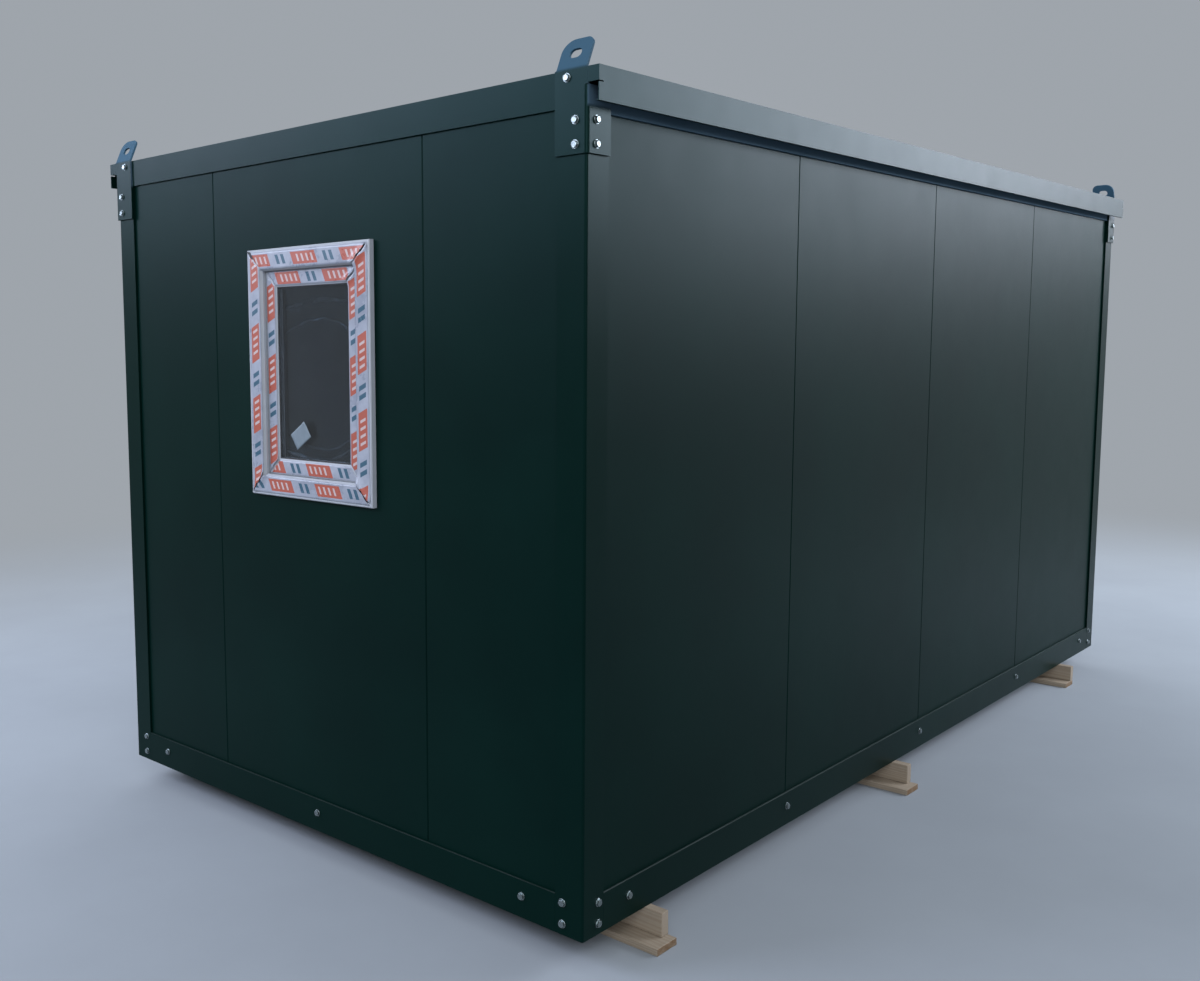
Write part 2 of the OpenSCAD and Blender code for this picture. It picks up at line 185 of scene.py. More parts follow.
def addRing(bm, place, size, profile, inset=0.0, rise=0.0):
    # Closed mitred ring; a profile point is (way in from the outer edge, height over the face)
    rings = []
    for wayIn, height in profile:
        halfWidth, halfHeight = size[0] / 2 - (inset + wayIn), size[1] / 2 - (inset + wayIn)
        corners = ((-halfWidth, -halfHeight), (halfWidth, -halfHeight),
                   (halfWidth, halfHeight), (-halfWidth, halfHeight))
        rings.append([bm.verts.new(place @ Vector((x, y, rise + height))) for x, y in corners])
    joinRings(bm, rings, closed=True)


paint = {
    "deep": (0.0004, 0.0078, 0.0057),
    "light": (0.0009, 0.0112, 0.0082),
    "sheen": (0.48, 0.92, 0.98),        # tint of its reflection seen square on
    "cloudScale": 1.6,                  # of the tones in the paint
    "mottleScale": 7.0,                 # of the gloss and the pale ledge line
    "peelScale": 420.0,
    "peelDepth": 0.0001,
    "waveScale": 1.1,                   # of the slow waves in the sheet
    "paintedReflectionDeep": (0.036, 0.068, 0.098),    # under the eaves: paler and bluer than the paint, a painted reflection of the sky
    "paintedReflectionLight": (0.054, 0.092, 0.126),
    "shelterDrop": 0.012,               # below the eaves, where the plates take the painted reflection
    # the lifting lugs: the same paint, made paler and bluer as a painted reflection of the sky
    "lug": (0.036, 0.083, 0.126),
    "lugDulling": 0.25,                 # extra roughness on the lugs
    "lugRise": 0.010,                   # over which the plate's tone turns into the lug's painted reflection
    "paleLedge": (0.075, 0.090, 0.088),
    "paleLedgeWidth": 0.0045,                # of the paler line along the bottom rails' ledges
    "paleLedgeFade": 0.002,
    "paleLedgeTop": (0.5, 0.4),              # height of none and of all
    "endPaleLedge": 0.45,                    # on the end rails' ledges against the long rails'
    "inside": (0.72, 0.72, 0.70),
    "insideDepth": 0.065,               # behind the frame's faces, where the inside tone starts
}


def paleLedgeLine(tree, point, mottle, amount):
    # A paler, rougher line on what faces up low down, along the outer edge of the rails
    place = axesOf(tree, point)
    ledge = calc(tree, "MULTIPLY", remap(tree, facing(tree, "Z"), 0.6, 0.9),
                 remap(tree, place["Z"], *paint["paleLedgeTop"]))
    rims = []
    for axis, outside, share in (("Y", postHigh.y, 1.0), ("X", postHigh.x, paint["endPaleLedge"])):
        edge = outside - paint["paleLedgeWidth"]
        rims.append(remap(tree, calc(tree, "ABSOLUTE", place[axis]),
                          edge - paint["paleLedgeFade"], edge, 0.0, share))
    rim = calc(tree, "MAXIMUM", rims[0], rims[1])
    return calc(tree, "MULTIPLY", calc(tree, "MULTIPLY", ledge, rim),
                remap(tree, mottle, 0.3, 0.6, amount * 0.6, amount))


def paintedReflectionPart(tree, point):
    # 1 on the corner plates' long legs behind and just below the eaves, where the sky's reflection is
    # painted in
    sideways = calc(tree, "ABSOLUTE", facing(tree, "Y"))
    return calc(tree, "MULTIPLY", remap(tree, sideways, 0.6, 0.8),
                remap(tree, axesOf(tree, point)["Z"], eavesLow.z - paint["shelterDrop"], eavesLow.z))


def insidePart(tree, point):
    # 1 on the room's side of the wall panels, and 0 on their weather side
    place = axesOf(tree, point)
    return calc(tree, "MULTIPLY", within(tree, place["X"], postHigh.x - paint["insideDepth"]),
                within(tree, place["Y"], postHigh.y - paint["insideDepth"]))


def paintFinish(name, roughness, wave, specular=0.09, tones=("deep", "light"), paleLedge=0.0, lugs=False,
                insideWhite=False):
    # Dark green enamel: orange peel, and slow waves in the sheet
    material, tree, shader = newMaterial(name)
    point = objectPoint(tree)
    cloud = grain(tree, point, paint["cloudScale"], 4.0, 0.55)
    mottle = grain(tree, point, paint["mottleScale"], 5.0, 0.6)
    peel = grain(tree, point, paint["peelScale"], 2.0)
    colour = blendColours(tree, remap(tree, cloud, 0.3, 0.7), paint[tones[0]], paint[tones[1]])
    gloss = remap(tree, mottle, 0.3, 0.7, roughness - 0.012, roughness + 0.018)
    if paleLedge:
        paleLine = paleLedgeLine(tree, point, mottle, paleLedge)
        colour = blendColours(tree, paleLine, colour, paint["paleLedge"])
        gloss = calc(tree, "ADD", gloss, paleLine)
    if lugs:
        # Painted reflection: the plates' legs under the eaves turn paler and bluer
        colour = blendColours(tree, paintedReflectionPart(tree, point), colour, paint["paintedReflectionLight"])
        # Painted reflection on the lifting lugs, above the posts' tops
        lug = remap(tree, axesOf(tree, point)["Z"], postHigh.z, postHigh.z + paint["lugRise"])
        colour = blendColours(tree, lug, colour, paint["lug"])
        gloss = calc(tree, "ADD", gloss, calc(tree, "MULTIPLY", lug, paint["lugDulling"]))
    if insideWhite:
        colour = blendColours(tree, insidePart(tree, point), colour, paint["inside"])
    waves = addBump(tree, grain(tree, objectPoint(tree, (1, 1, 0.7)), paint["waveScale"], 1.0), wave)
    setInputs(tree, shader, {
        "Base Color": colour,
        "Roughness": gloss,
        "Normal": addBump(tree, peel, paint["peelDepth"], 0.5, waves),
        "Specular IOR Level": specular,
        "Specular Tint": paint["sheen"],
    })
    return material


zinc = {
    "pale": (0.40, 0.41, 0.42),
    "dark": (0.30, 0.31, 0.32),
    "stain": (0.23, 0.23, 0.225),
    "stainScale": 2.4,
    "spangle": 55.0,
    "roughness": (0.52, 0.68),
    "metallic": 0.25,
}


def zincFinish():
    # Galvanised sheet: crystals of slightly different tone and gloss
    material, tree, shader = newMaterial("galvanised sheet")
    crystal = addNode(tree, "ShaderNodeTexVoronoi", {"Vector": objectPoint(tree),
                                                     "Scale": zinc["spangle"]})
    tone = axesOf(tree, crystal.outputs["Color"])["X"]
    stain = grain(tree, objectPoint(tree, (1, 0.3, 1)), zinc["stainScale"], 5.0, 0.6)
    colour = blendColours(tree, tone, zinc["dark"], zinc["pale"])
    setInputs(tree, shader, {
        "Base Color": blendColours(tree, remap(tree, stain, 0.5, 0.75, 0.0, 0.5), colour,
                                   zinc["stain"]),
        "Roughness": remap(tree, tone, 0.0, 1.0, *zinc["roughness"]),
        "Normal": addBump(tree, tone, 0.0002, 0.3),
        "Metallic": zinc["metallic"],
        "Specular IOR Level": 0.2,
    })
    return material


plastic = {
    "dark": (0.34, 0.36, 0.39),
    "pale": (0.42, 0.44, 0.475),
    "cloudScale": 14.0,
    "roughness": (0.28, 0.42),
    "poreScale": 900.0,
    "poreDepth": 0.00005,
}


def plasticFinish():
    # White window plastic, very slightly uneven
    material, tree, shader = newMaterial("window plastic")
    point = objectPoint(tree)
    cloud = grain(tree, point, plastic["cloudScale"], 3.0)
    setInputs(tree, shader, {
        "Base Color": blendColours(tree, cloud, plastic["dark"], plastic["pale"]),
        "Roughness": remap(tree, grain(tree, point, 60.0), 0.3, 0.7, *plastic["roughness"]),
        "Normal": addBump(tree, grain(tree, point, plastic["poreScale"]), plastic["poreDepth"], 0.4),
    })
    return material


rubber = {
    "black": {"name": "black rubber", "dark": (0.012, 0.012, 0.013), "pale": (0.03, 0.03, 0.03)},
    "grey": {"name": "grey seal", "dark": (0.16, 0.17, 0.185), "pale": (0.25, 0.265, 0.29)},
    # a near-black sheet that paints the shadow in the film's torn mitres
    "tearShadow": {"name": "painted tear shadow", "dark": (0.010, 0.013, 0.016),
                 "pale": (0.024, 0.028, 0.032)},
    "roughness": 0.62,
    "poreDepth": 0.0001,
}


def rubberFinish(name, dark, pale):
    material, tree, shader = newMaterial(name)
    point = objectPoint(tree)
    setInputs(tree, shader, {
        "Base Color": blendColours(tree, grain(tree, point, 90.0), dark, pale),
        "Normal": addBump(tree, grain(tree, point, 1500.0), rubber["poreDepth"], 0.5),
        "Roughness": rubber["roughness"],
    })
    return material


plating = {
    "dark": (0.13, 0.16, 0.165),
    "pale": (0.36, 0.41, 0.41),
    "patchScale": 160.0,
    "roughness": (0.36, 0.18),
    "metallic": 0.9,
}


def boltFinish():
    # Zinc-plated steel, faintly green and scuffed
    material, tree, shader = newMaterial("plated bolt")
    patch = grain(tree, objectPoint(tree), plating["patchScale"], 4.0, 0.6)
    setInputs(tree, shader, {
        "Base Color": blendColours(tree, patch, plating["dark"], plating["pale"]),
        "Roughness": remap(tree, patch, 0.2, 0.8, *plating["roughness"]),
        "Normal": addBump(tree, patch, 0.0003, 0.4),
        "Metallic": plating["metallic"],
    })
    return material


aluminium = {
    "dark": (0.60, 0.61, 0.62),
    "pale": (0.78, 0.79, 0.80),
    "brush": (30, 30, 900),             # how tightly the brushing runs along each axis
    "roughness": (0.24, 0.4),
}


def metalFinish():
    # Brushed aluminium of the door furniture
    material, tree, shader = newMaterial("brushed aluminium")
    brush = grain(tree, objectPoint(tree, aluminium["brush"]), 3.0, 2.0)
    setInputs(tree, shader, {
        "Base Color": blendColours(tree, brush, aluminium["dark"], aluminium["pale"]),
        "Roughness": remap(tree, brush, 0.2, 0.8, *aluminium["roughness"]),
        "Normal": addBump(tree, brush, 0.00005, 0.5),
        "Metallic": 1.0,
    })
    return material


lining = {
    "ceiling": {"name": "ceiling lining", "pale": (0.74, 0.74, 0.72), "dark": (0.68, 0.68, 0.66),
                "scale": 6.0, "roughness": 0.6},
    "vinyl": {"name": "floor vinyl", "pale": (0.26, 0.27, 0.26), "dark": (0.17, 0.18, 0.17),
              "scale": 60.0, "roughness": 0.45},
}


def liningFinish(name, pale, dark, scale, roughness):
    # Plain board inside the cabin: ceiling lining or floor vinyl
    material, tree, shader = newMaterial(name)
    point = objectPoint(tree)
    fleck = remap(tree, grain(tree, point, scale, 6.0, 0.7), 0.35, 0.65)
    setInputs(tree, shader, {
        "Base Color": blendColours(tree, fleck, dark, pale),
        "Normal": addBump(tree, grain(tree, point, scale * 6), 0.0002, 0.4),
        "Roughness": roughness,
    })
    return material


finishes = {
    "frame": paintFinish("frame paint", roughness=0.33, wave=0.0010, paleLedge=0.9),
    "plate": paintFinish("corner plate paint", roughness=0.34, wave=0.0006, specular=0.12, lugs=True),
    # The rails under the eaves get a paler, bluer tone: a painted reflection of the sky
    "railPaintedReflection": paintFinish("rail paint with painted reflection", roughness=0.70, wave=0.0010, specular=0.06,
                          tones=("paintedReflectionDeep", "paintedReflectionLight")),
    "wall": paintFinish("wall paint", roughness=0.40, wave=0.0024, insideWhite=True),
    "eaves": paintFinish("eaves paint", roughness=0.34, wave=0.0020, specular=0.12),
    "zinc": zincFinish(),
    "plastic": plasticFinish(),
    "rubber": rubberFinish(**rubber["black"]),
    "seal": rubberFinish(**rubber["grey"]),
    "tearShadow": rubberFinish(**rubber["tearShadow"]),
    "bolt": boltFinish(),
    "metal": metalFinish(),
    "ceiling": liningFinish(**lining["ceiling"]),
    "vinyl": liningFinish(**lining["vinyl"]),
}
# part of a node's name and its finish; a later row wins over an earlier one
nodeFinishes = (
    ("post_", "frame"), ("bottom_rail", "frame"), ("top_rail", "frame"), ("corner_plate", "plate"),
    ("top_rail_front", "railPaintedReflection"), ("top_rail_rear", "railPaintedReflection"),
    ("floor_joists", "frame"), ("eaves_", "eaves"), ("roof_sheet", "zinc"), ("panel", "wall"),
    ("window_frame", "plastic"), ("window_sash", "plastic"), ("door_frame", "frame"),
    ("door_leaf", "frame"), ("door_handles", "metal"), ("ceiling_board", "ceiling"),
    ("floor_board", "vinyl"),
)
for nodeName, node in nodes.items():
    for part, finish in nodeFinishes:
        if part in nodeName:
            for materialSlot in node.material_slots:
                materialSlot.material = finishes[finish]
print("finishes set on the frame's nodes")


bolt = {
    "acrossFlats": 0.019,
    "headHeight": 0.0062,
    "washerRadius": 0.0130,
    "washerThickness": 0.0020,
    "washerEdge": 0.0005,
    "chamfer": 0.94,                    # radius of the head's top against its flats
    "chamferSlope": 0.58,
    "dishRadius": 0.80,
    "dish": 0.0003,
    "segments": 24,
}


def addBolt(bm, place, outward, spin, size=1.0):
    # Washer, and hexagon head with its corners chamfered
    flat = bolt["acrossFlats"] / 2 * size
    washer = bolt["washerThickness"] * size
    washerRadius = bolt["washerRadius"] * size
    top = washer + bolt["headHeight"] * size
    edge = bolt["washerEdge"] * size
    crown = flat * bolt["chamfer"]
    axis = Vector(outward).normalized()
    turn = axis.to_track_quat("Z", "Y").to_matrix() @ Matrix.Rotation(spin, 3, "Z")

    def hexRadius(angle):
        return flat / math.cos((angle + math.pi / 6) % (math.pi / 3) - math.pi / 6)

    profile = (
        lambda angle: (washerRadius, 0.0),
        lambda angle: (washerRadius, washer - edge),
        lambda angle: (washerRadius - edge, washer),
        lambda angle: (hexRadius(angle), washer),
        lambda angle: (hexRadius(angle), top - (hexRadius(angle) - crown) * bolt["chamferSlope"]),
        lambda angle: (crown, top),
        lambda angle: (flat * bolt["dishRadius"], top - bolt["dish"] * size),
    )
    joinRings(bm, [ringRound(bm, place, turn, bolt["segments"], spotAt) for spotAt in profile])


boltPlaces = {
    # inset from the cabin's corner, and heights over the frame's foot
    "plate": (0.035, (2.347, 2.414)),
    "lug": (0.065, (2.533,)),           # under each lifting lug, so on the end walls only
    "foot": (0.077, (0.035, 0.102)),
    "railHeight": 0.070,
    "endRail": (0.238, 1.218, 2.197),   # from the front
    "longRail": (0.238, 1.250, 2.446, 3.642, 4.655),  # from the left end
}
plateOut = -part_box("corner_plate_front_left")[0].x + postLow.x


def wallBolts(halfLength, atEnd):
    # Each bolt's way along the wall from its middle, its height, and how far its face stands out
    spots = []
    for corner in (-1, 1):
        for part, standOut in (("plate", plateOut), ("lug", plateOut), ("foot", 0.0)):
            inset, heights = boltPlaces[part]
            if atEnd or part != "lug":
                spots += [(corner * (halfLength - inset), height, standOut) for height in heights]
    for way in boltPlaces["endRail" if atEnd else "longRail"]:
        spots.append((way - halfLength, boltPlaces["railHeight"], 0.0))
    return spots


def placeBolts():
    random.seed(11)
    total = 0
    for name, outward in (("bolts_left", (-1, 0, 0)), ("bolts_right", (1, 0, 0)),
                          ("bolts_front", (0, -1, 0)), ("bolts_rear", (0, 1, 0))):
        atEnd = outward[0] != 0
        halfLength = postHigh.y if atEnd else postHigh.x
        bm = bmesh.new()
        for along, height, standOut in wallBolts(halfLength, atEnd):
            if atEnd:
                x, y = outward[0] * (postHigh.x + standOut), along
            else:
                x, y = along, outward[1] * (postHigh.y + standOut)
            addBolt(bm, (x, y, height + postLow.z), outward, random.uniform(0, math.pi))
            total += 1
        makePiece(name, bm, finishes["bolt"])
    print("bolts placed:", total)


placeBolts()


def measureWindow(side, sign):
    # Sizes and place of one window; local axes seen from outside: x to the right, y up, z outward
    low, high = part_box(side + "_window_frame")
    sashLow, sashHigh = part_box(side + "_window_sash")
    paneLow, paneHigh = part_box("window_panes")
    outer = (low, sashLow, paneLow) if sign < 0 else (high, sashHigh, paneHigh)
    face, sashFace, paneFace = (corner.x for corner in outer)
    axes = Matrix(((0, 0, sign), (sign, 0, 0), (0, 1, 0))).to_4x4()
    centre = Vector((face, (low.y + high.y) / 2, (low.z + high.z) / 2))
    return {
        "place": Matrix.Translation(centre) @ axes,
        "size": (high.y - low.y, high.z - low.z),
        "sashSize": (sashHigh.y - sashLow.y, sashHigh.z - sashLow.z),
        "sashDepth": abs(sashFace - face),
        "paneSize": (paneHigh.y - paneLow.y, paneHigh.z - paneLow.z),
        "paneDepth": abs(paneFace - face),
    }


windows = {"left": measureWindow("left", -1), "right": measureWindow("right", 1)}

film = {
    "onFrame": (0.008, 0.073),          # across a frame member, from its outer edge
    "onSash": (0.002, 0.054),
    "thickness": 0.0004,
    "wrinkle": 0.0004,
    "step": 0.009,                      # along a strip
    "rows": 8,                          # across it
    "torn": (0.004, 0.010, 90.0),       # at the mitre: mean, swing and how tight it runs
    "curls": (0.0, 0.012, 0.020),       # sizes of a lifted end, picked at random
    "curlReach": 2.2,
    "curlLift": 0.55,
    "outerLift": 0.35,                  # lift of the outer edge against the inner one
    # painted shadows in the film's tears at the mitres: corner, distance from it, length and width
    "tears": (((1, 1), 0.018, 0.078, 0.0165), ((-1, 1), 0.004, 0.046, 0.0120),
              ((-1, -1), 0.012, 0.036, 0.0125), ((-1, -1), 0.056, 0.034, 0.0095),
              ((1, -1), 0.024, 0.078, 0.0135)),
    "tearSteps": 12,
    "tearTip": 0.0003,
    "tearLift": 0.0007,
}
filmPrint = {
    "base": (0.23, 0.25, 0.30),
    "basePale": (0.37, 0.39, 0.45),
    "teal": (0.040, 0.100, 0.145),
    "orange": (0.38, 0.092, 0.060),
    "slash": (0.50, 0.40, 0.39),
    "pitch": 0.262,                     # from one orange bar to the next
    "slant": 0.45,
    "barLength": 0.132,
    "barHeight": 0.044,
    "slashPitch": 0.026,
    "slashHalf": 0.0050,
    "slashZone": (0.40, 0.30),          # of the bar's length and height, from its middle
    "tealApart": 0.016,                 # each of the pair from the middle between two bars
    "tealHalf": (0.0085, 0.017),        # half its length and height
    "roughness": (0.22, 0.4),
}


def filmFinish():
    # Lavender film with slanted orange bars, pale slashes in them, and pairs of teal bars between
    material, tree, shader = newMaterial("protective film")
    uv = addNode(tree, "ShaderNodeUVMap", uv_map="UVMap")
    strip = axesOf(tree, uv.outputs["UV"])
    along, across = strip["X"], strip["Y"]
    pitch = filmPrint["pitch"]
    slant = calc(tree, "MULTIPLY_ADD", across, filmPrint["slant"])
    tree.links.new(along, slant.node.inputs[2])
    place = calc(tree, "MODULO", calc(tree, "ADD", slant, 10 * pitch), pitch)
    place = calc(tree, "SUBTRACT", place, pitch / 2)
    bar = calc(tree, "MULTIPLY", within(tree, place, filmPrint["barLength"] / 2),
               within(tree, across, filmPrint["barHeight"] / 2))
    fromSlash = calc(tree, "MODULO", calc(tree, "ADD", place, 0.5), filmPrint["slashPitch"])
    fromSlash = calc(tree, "SUBTRACT", fromSlash, filmPrint["slashPitch"] / 2)
    zoneLength, zoneHeight = filmPrint["slashZone"]
    zone = calc(tree, "MULTIPLY", within(tree, across, filmPrint["barHeight"] * zoneHeight),
                within(tree, place, filmPrint["barLength"] * zoneLength))
    slash = calc(tree, "MULTIPLY", within(tree, fromSlash, filmPrint["slashHalf"]), zone)
    fromTeal = calc(tree, "SUBTRACT", calc(tree, "ABSOLUTE", place),
                    pitch / 2 - filmPrint["tealApart"])
    teal = calc(tree, "MULTIPLY", within(tree, fromTeal, filmPrint["tealHalf"][0]),
                within(tree, across, filmPrint["tealHalf"][1]))
    cloud = grain(tree, objectPoint(tree), 9.0, 5.0, 0.65)
    colour = blendColours(tree, remap(tree, cloud, 0.3, 0.7), filmPrint["base"],
                          filmPrint["basePale"])
    for shape, tone in ((teal, "teal"), (bar, "orange"), (slash, "slash")):
        colour = blendColours(tree, shape, colour, filmPrint[tone])
    setInputs(tree, shader, {
        "Base Color": colour,
        "Roughness": remap(tree, cloud, 0.3, 0.7, *filmPrint["roughness"]),
        "Normal": addBump(tree, grain(tree, objectPoint(tree), 130.0, 3.0), 0.0006, 0.5),
    })
    return material


def addFilmStrip(bm, uvLayer, place, size, member, edges, depth, offset, curls):
    # One strip on member 0 bottom, 1 right, 2 top or 3 left; its ends are torn along the mitre
    length, deep = size if member % 2 == 0 else reversed(size)
    turn = Matrix.Rotation(math.radians(90 * member), 4, "Z")
    near, far = edges
    columns, rows = int(length / film["step"]), film["rows"]

    def tornBy(way, seed):
        mean, swing, tightness = film["torn"]
        return max(0.001, mean + swing * noise.noise(Vector((way * tightness, offset, seed))))

    def spotAt(i, j):
        across = near + (far - near) * j / rows
        start = across + tornBy(across, 1.7)
        end = length - across - tornBy(across, 7.3)
        along = start + (end - start) * i / columns
        rise = 0.0
        for fromEnd, curl in ((along - start, curls[0]), (end - along, curls[1])):
            reach = curl * film["curlReach"]
            if curl > 0 and fromEnd < reach:
                lift = (1 - fromEnd / reach) ** 2
                rowLift = film["outerLift"] + (1 - film["outerLift"]) * j / rows
                rise += curl * film["curlLift"] * lift * rowLift
        ripple = noise.noise(Vector((along * 24, across * 30, offset))) * film["wrinkle"]
        rise += abs(ripple) + film["thickness"] - depth
        spot = place @ turn @ Vector((along - length / 2, across - deep / 2, rise))
        return spot, (along + offset, across - (near + far) / 2)

    addSheet(bm, columns, rows, spotAt, uvLayer)


def placeTearShadows():
    # Dark sheets that paint the shadow where the film is torn at the mitres
    bm = bmesh.new()
    for window in windows.values():
        for (signX, signY), away, length, width in film["tears"]:
            inward = Vector((-signX, -signY, 0)).normalized()
            sideways = Vector((-inward.y, inward.x, 0))
            corner = Vector((signX * window["size"][0] / 2, signY * window["size"][1] / 2,
                             film["tearLift"]))

            def spotAt(i, j):
                share = i / film["tearSteps"]
                half = film["tearTip"] + width / 2 * math.sin(math.pi * share) ** 0.7
                bend = noise.noise(Vector((share * 5, away * 100, 2.2))) * width * 0.5
                shift = inward * (away + share * length) + sideways * (bend + (2 * j - 1) * half)
                return window["place"] @ (corner + shift), None

            addSheet(bm, film["tearSteps"], 1, spotAt)
    makePiece("film_tear_shadows", bm, finishes["tearShadow"])


def placeFilm():
    material = filmFinish()
    random.seed(5)
    for side, window in windows.items():
        for where, size, edges, depth in (
                ("frame", window["size"], film["onFrame"], 0.0),
                ("sash", window["sashSize"], film["onSash"], window["sashDepth"])):
            bm = bmesh.new()
            uvLayer = bm.loops.layers.uv.new("UVMap")
            for member in range(4):
                curls = [random.choice(film["curls"]) for end in range(2)]
                addFilmStrip(bm, uvLayer, window["place"], size, member, edges, depth,
                             random.uniform(0, 1), curls)
            makePiece(f"{side}_{where}_film", bm, material, smooth=True,
                      thickness=film["thickness"] * 0.8)
    placeTearShadows()
    print("film laid on both windows")


glazing = {
    "pane": 0.004,
    "paneGap": 0.0008,                  # round each pane
    "paneEdge": 0.0005,
    "gap": 0.016,                       # between the two panes
    "bead": 0.0125,                     # where the sash's bead ends on the glass, from the pane's edge
    "tint": ((0.52, 0.58, 0.64), (0.60, 0.66, 0.70)),
    "haze": 0.06,
    # way in and height of each section: the sash's seal from the sash's edge and face, the others
    # from the bead's edge, on the glass or on the panes' inner faces; the spacer's are shares of
    # the gap
    "sashSeal": ((0.0002, -0.006), (0.0002, 0.0035), (0.0016, 0.0045), (0.004, 0.001),
                 (0.004, -0.0005)),
    "gasket": ((-0.004, 0.0002), (-0.001, 0.0030), (0.00175, 0.0024), (0.0035, 0.0002)),
    "spacer": ((-0.008, 0.0), (-0.008, -1.0), (0.001, -1.0), (0.001, 0.0)),
    "spacerEdge": ((0.0012, 0.0002), (0.0012, 0.0022), (0.0036, 0.0022), (0.0036, 0.0002)),
}


def glassFinish():
    material, tree, shader = newMaterial("window glass")
    haze = grain(tree, objectPoint(tree), 5.0, 5.0, 0.65)
    setInputs(tree, shader, {
        "Base Color": blendColours(tree, haze, *glazing["tint"]),
        "Roughness": remap(tree, haze, 0.35, 0.75, 0.0, glazing["haze"]),
        "Transmission Weight": 1.0,
        "IOR": 1.48,
    })
    return material


def placeGlazing():
    weather, gaskets, spacers, spacerEdges, panes = (bmesh.new() for part in range(5))
    spacer = [(wayIn, share * glazing["gap"]) for wayIn, share in glazing["spacer"]]
    for window in windows.values():
        place, sashSize = window["place"], window["sashSize"]
        glass = -window["paneDepth"]
        inner = glass - glazing["pane"]
        rear = inner - glazing["gap"]
        bead = (sashSize[0] - window["paneSize"][0]) / 2 + glazing["bead"]
        addRing(weather, place, sashSize, glazing["sashSeal"], 0.0, -window["sashDepth"])
        addRing(gaskets, place, sashSize, glazing["gasket"], bead, glass)
        addRing(spacers, place, sashSize, spacer, bead, inner)
        addRing(spacerEdges, place, sashSize, glazing["spacerEdge"], bead, rear)
        width, height = (side - 2 * glazing["paneGap"] for side in window["paneSize"])
        for front in (glass, rear):
            middle = Matrix.Translation((0, 0, front - glazing["pane"] / 2))
            bmesh.ops.create_cube(panes, size=1.0, matrix=place @ middle
                                  @ Matrix.Diagonal((width, height, glazing["pane"], 1)))
    bmesh.ops.bevel(panes, geom=list(panes.edges), offset=glazing["paneEdge"], segments=1,
                    affect="EDGES")
    makePiece("window_seals", gaskets, finishes["rubber"])
    makePiece("sash_seals", weather, finishes["seal"])
    makePiece("glazing_spacers", spacers, finishes["seal"])
    makePiece("spacer_edges", spacerEdges, finishes["plastic"])
    glass = makePiece("window_glass", panes, glassFinish())
    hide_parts("window_panes")
    print("glazing and seals placed")


label = {
    "tone": ((0.13, 0.17, 0.195), (0.19, 0.23, 0.26)),
    "size": (0.094, 0.066),
    "place": (-0.078, -0.225),          # from the left window's middle
    "turn": 33.7,
    "lift": 0.0004,
    "thickness": 0.0002,
    "steps": 10,
    "curlFrom": 1.65,                   # one corner lifts: 2 is its tip
    "curl": 0.02,
}


def labelFinish():
    material, tree, shader = newMaterial("blank label")
    cloud = grain(tree, objectPoint(tree), 40.0, 4.0)
    setInputs(tree, shader, {
        "Base Color": blendColours(tree, cloud, *label["tone"]),
        "Normal": addBump(tree, cloud, 0.0004, 0.3),
        "Roughness": 0.5,
    })
    return material


def placeLabel():
    window = windows["left"]
    halfLong, halfShort = label["size"][0] / 2, label["size"][1] / 2
    steps = label["steps"]
    tilt = Matrix.Rotation(math.radians(label["turn"]), 4, "Z")
    shift = Matrix.Translation((*label["place"], -window["paneDepth"] + label["lift"]))

    def spotAt(i, j):
        x, y = (2 * i / steps - 1) * halfLong, (2 * j / steps - 1) * halfShort
        corner = max(0.0, (i + j) / steps - label["curlFrom"])
        rise = label["curl"] * corner ** 2
        return window["place"] @ shift @ tilt @ Vector((x, y, rise)), None

    bm = bmesh.new()
    addSheet(bm, steps, steps, spotAt)
    makePiece("glass_label", bm, labelFinish(), smooth=True, thickness=label["thickness"])
    print("label stuck on the glass")


wrap = {
    "behind": 0.012,                    # behind the inner pane
    "inset": 0.014,                     # from the pane's edge
    "bulge": 0.004,
    "steps": (24, 34),
    "clear": 0.15,                      # how milky its clearest part is
    "haze": 0.16,
    "dark": (0.34, 0.38, 0.44),
    "milky": (0.90, 0.93, 0.97),
    "roughness": 0.35,
    "wander": 0.012,                    # of a fold off its line
    # each fold's height over the window's middle, place along Y, bend, half width and strength
    "folds": ((0.200, 0.00, -1.4, 0.0060, 0.70), (-0.311, 0.06, 0.9, 0.0120, 0.85),
              (-0.268, 0.02, 1.0, 0.0060, 0.60), (0.262, -0.04, -0.6, 0.0140, 0.40)),
}


def wrapFinish():
    # Clear sheet left over the inside of the window, milky along its folds
    material, tree, shader = newMaterial("clear wrap")
    point = objectPoint(tree)
    place = axesOf(tree, point)
    middle = windows["left"]["place"].translation.z
    wander = remap(tree, grain(tree, point, 6.0, 2.0), 0.3, 0.7, -wrap["wander"], wrap["wander"])
    patchy = remap(tree, grain(tree, point, 16.0, 3.0), 0.3, 0.6, 0.35, 1.0)
    fold = 0.0
    for height, across, bend, width, strength in wrap["folds"]:
        along = calc(tree, "SUBTRACT", place["Y"], across)
        line = calc(tree, "MULTIPLY", calc(tree, "MULTIPLY", along, along), bend)
        line = calc(tree, "ADD", calc(tree, "ADD", line, middle + height), wander)
        away = calc(tree, "ABSOLUTE", calc(tree, "SUBTRACT", place["Z"], line))
        fold = calc(tree, "MAXIMUM", fold, remap(tree, away, width, 0.0, 0.0, strength))
    fold = calc(tree, "MULTIPLY", fold, patchy)
    haze = remap(tree, grain(tree, objectPoint(tree, (1, 0.7, 2.5)), 5.0, 5.0, 0.6), 0.35, 0.75,
                 0.0, wrap["haze"])
    setInputs(tree, shader, {
        "Alpha": calc(tree, "ADD", calc(tree, "ADD", fold, haze), wrap["clear"]),
        "Base Color": blendColours(tree, fold, wrap["dark"], wrap["milky"]),
        "Normal": addBump(tree, fold, 0.002, 0.5),
        "Roughness": wrap["roughness"],
    })
    return material


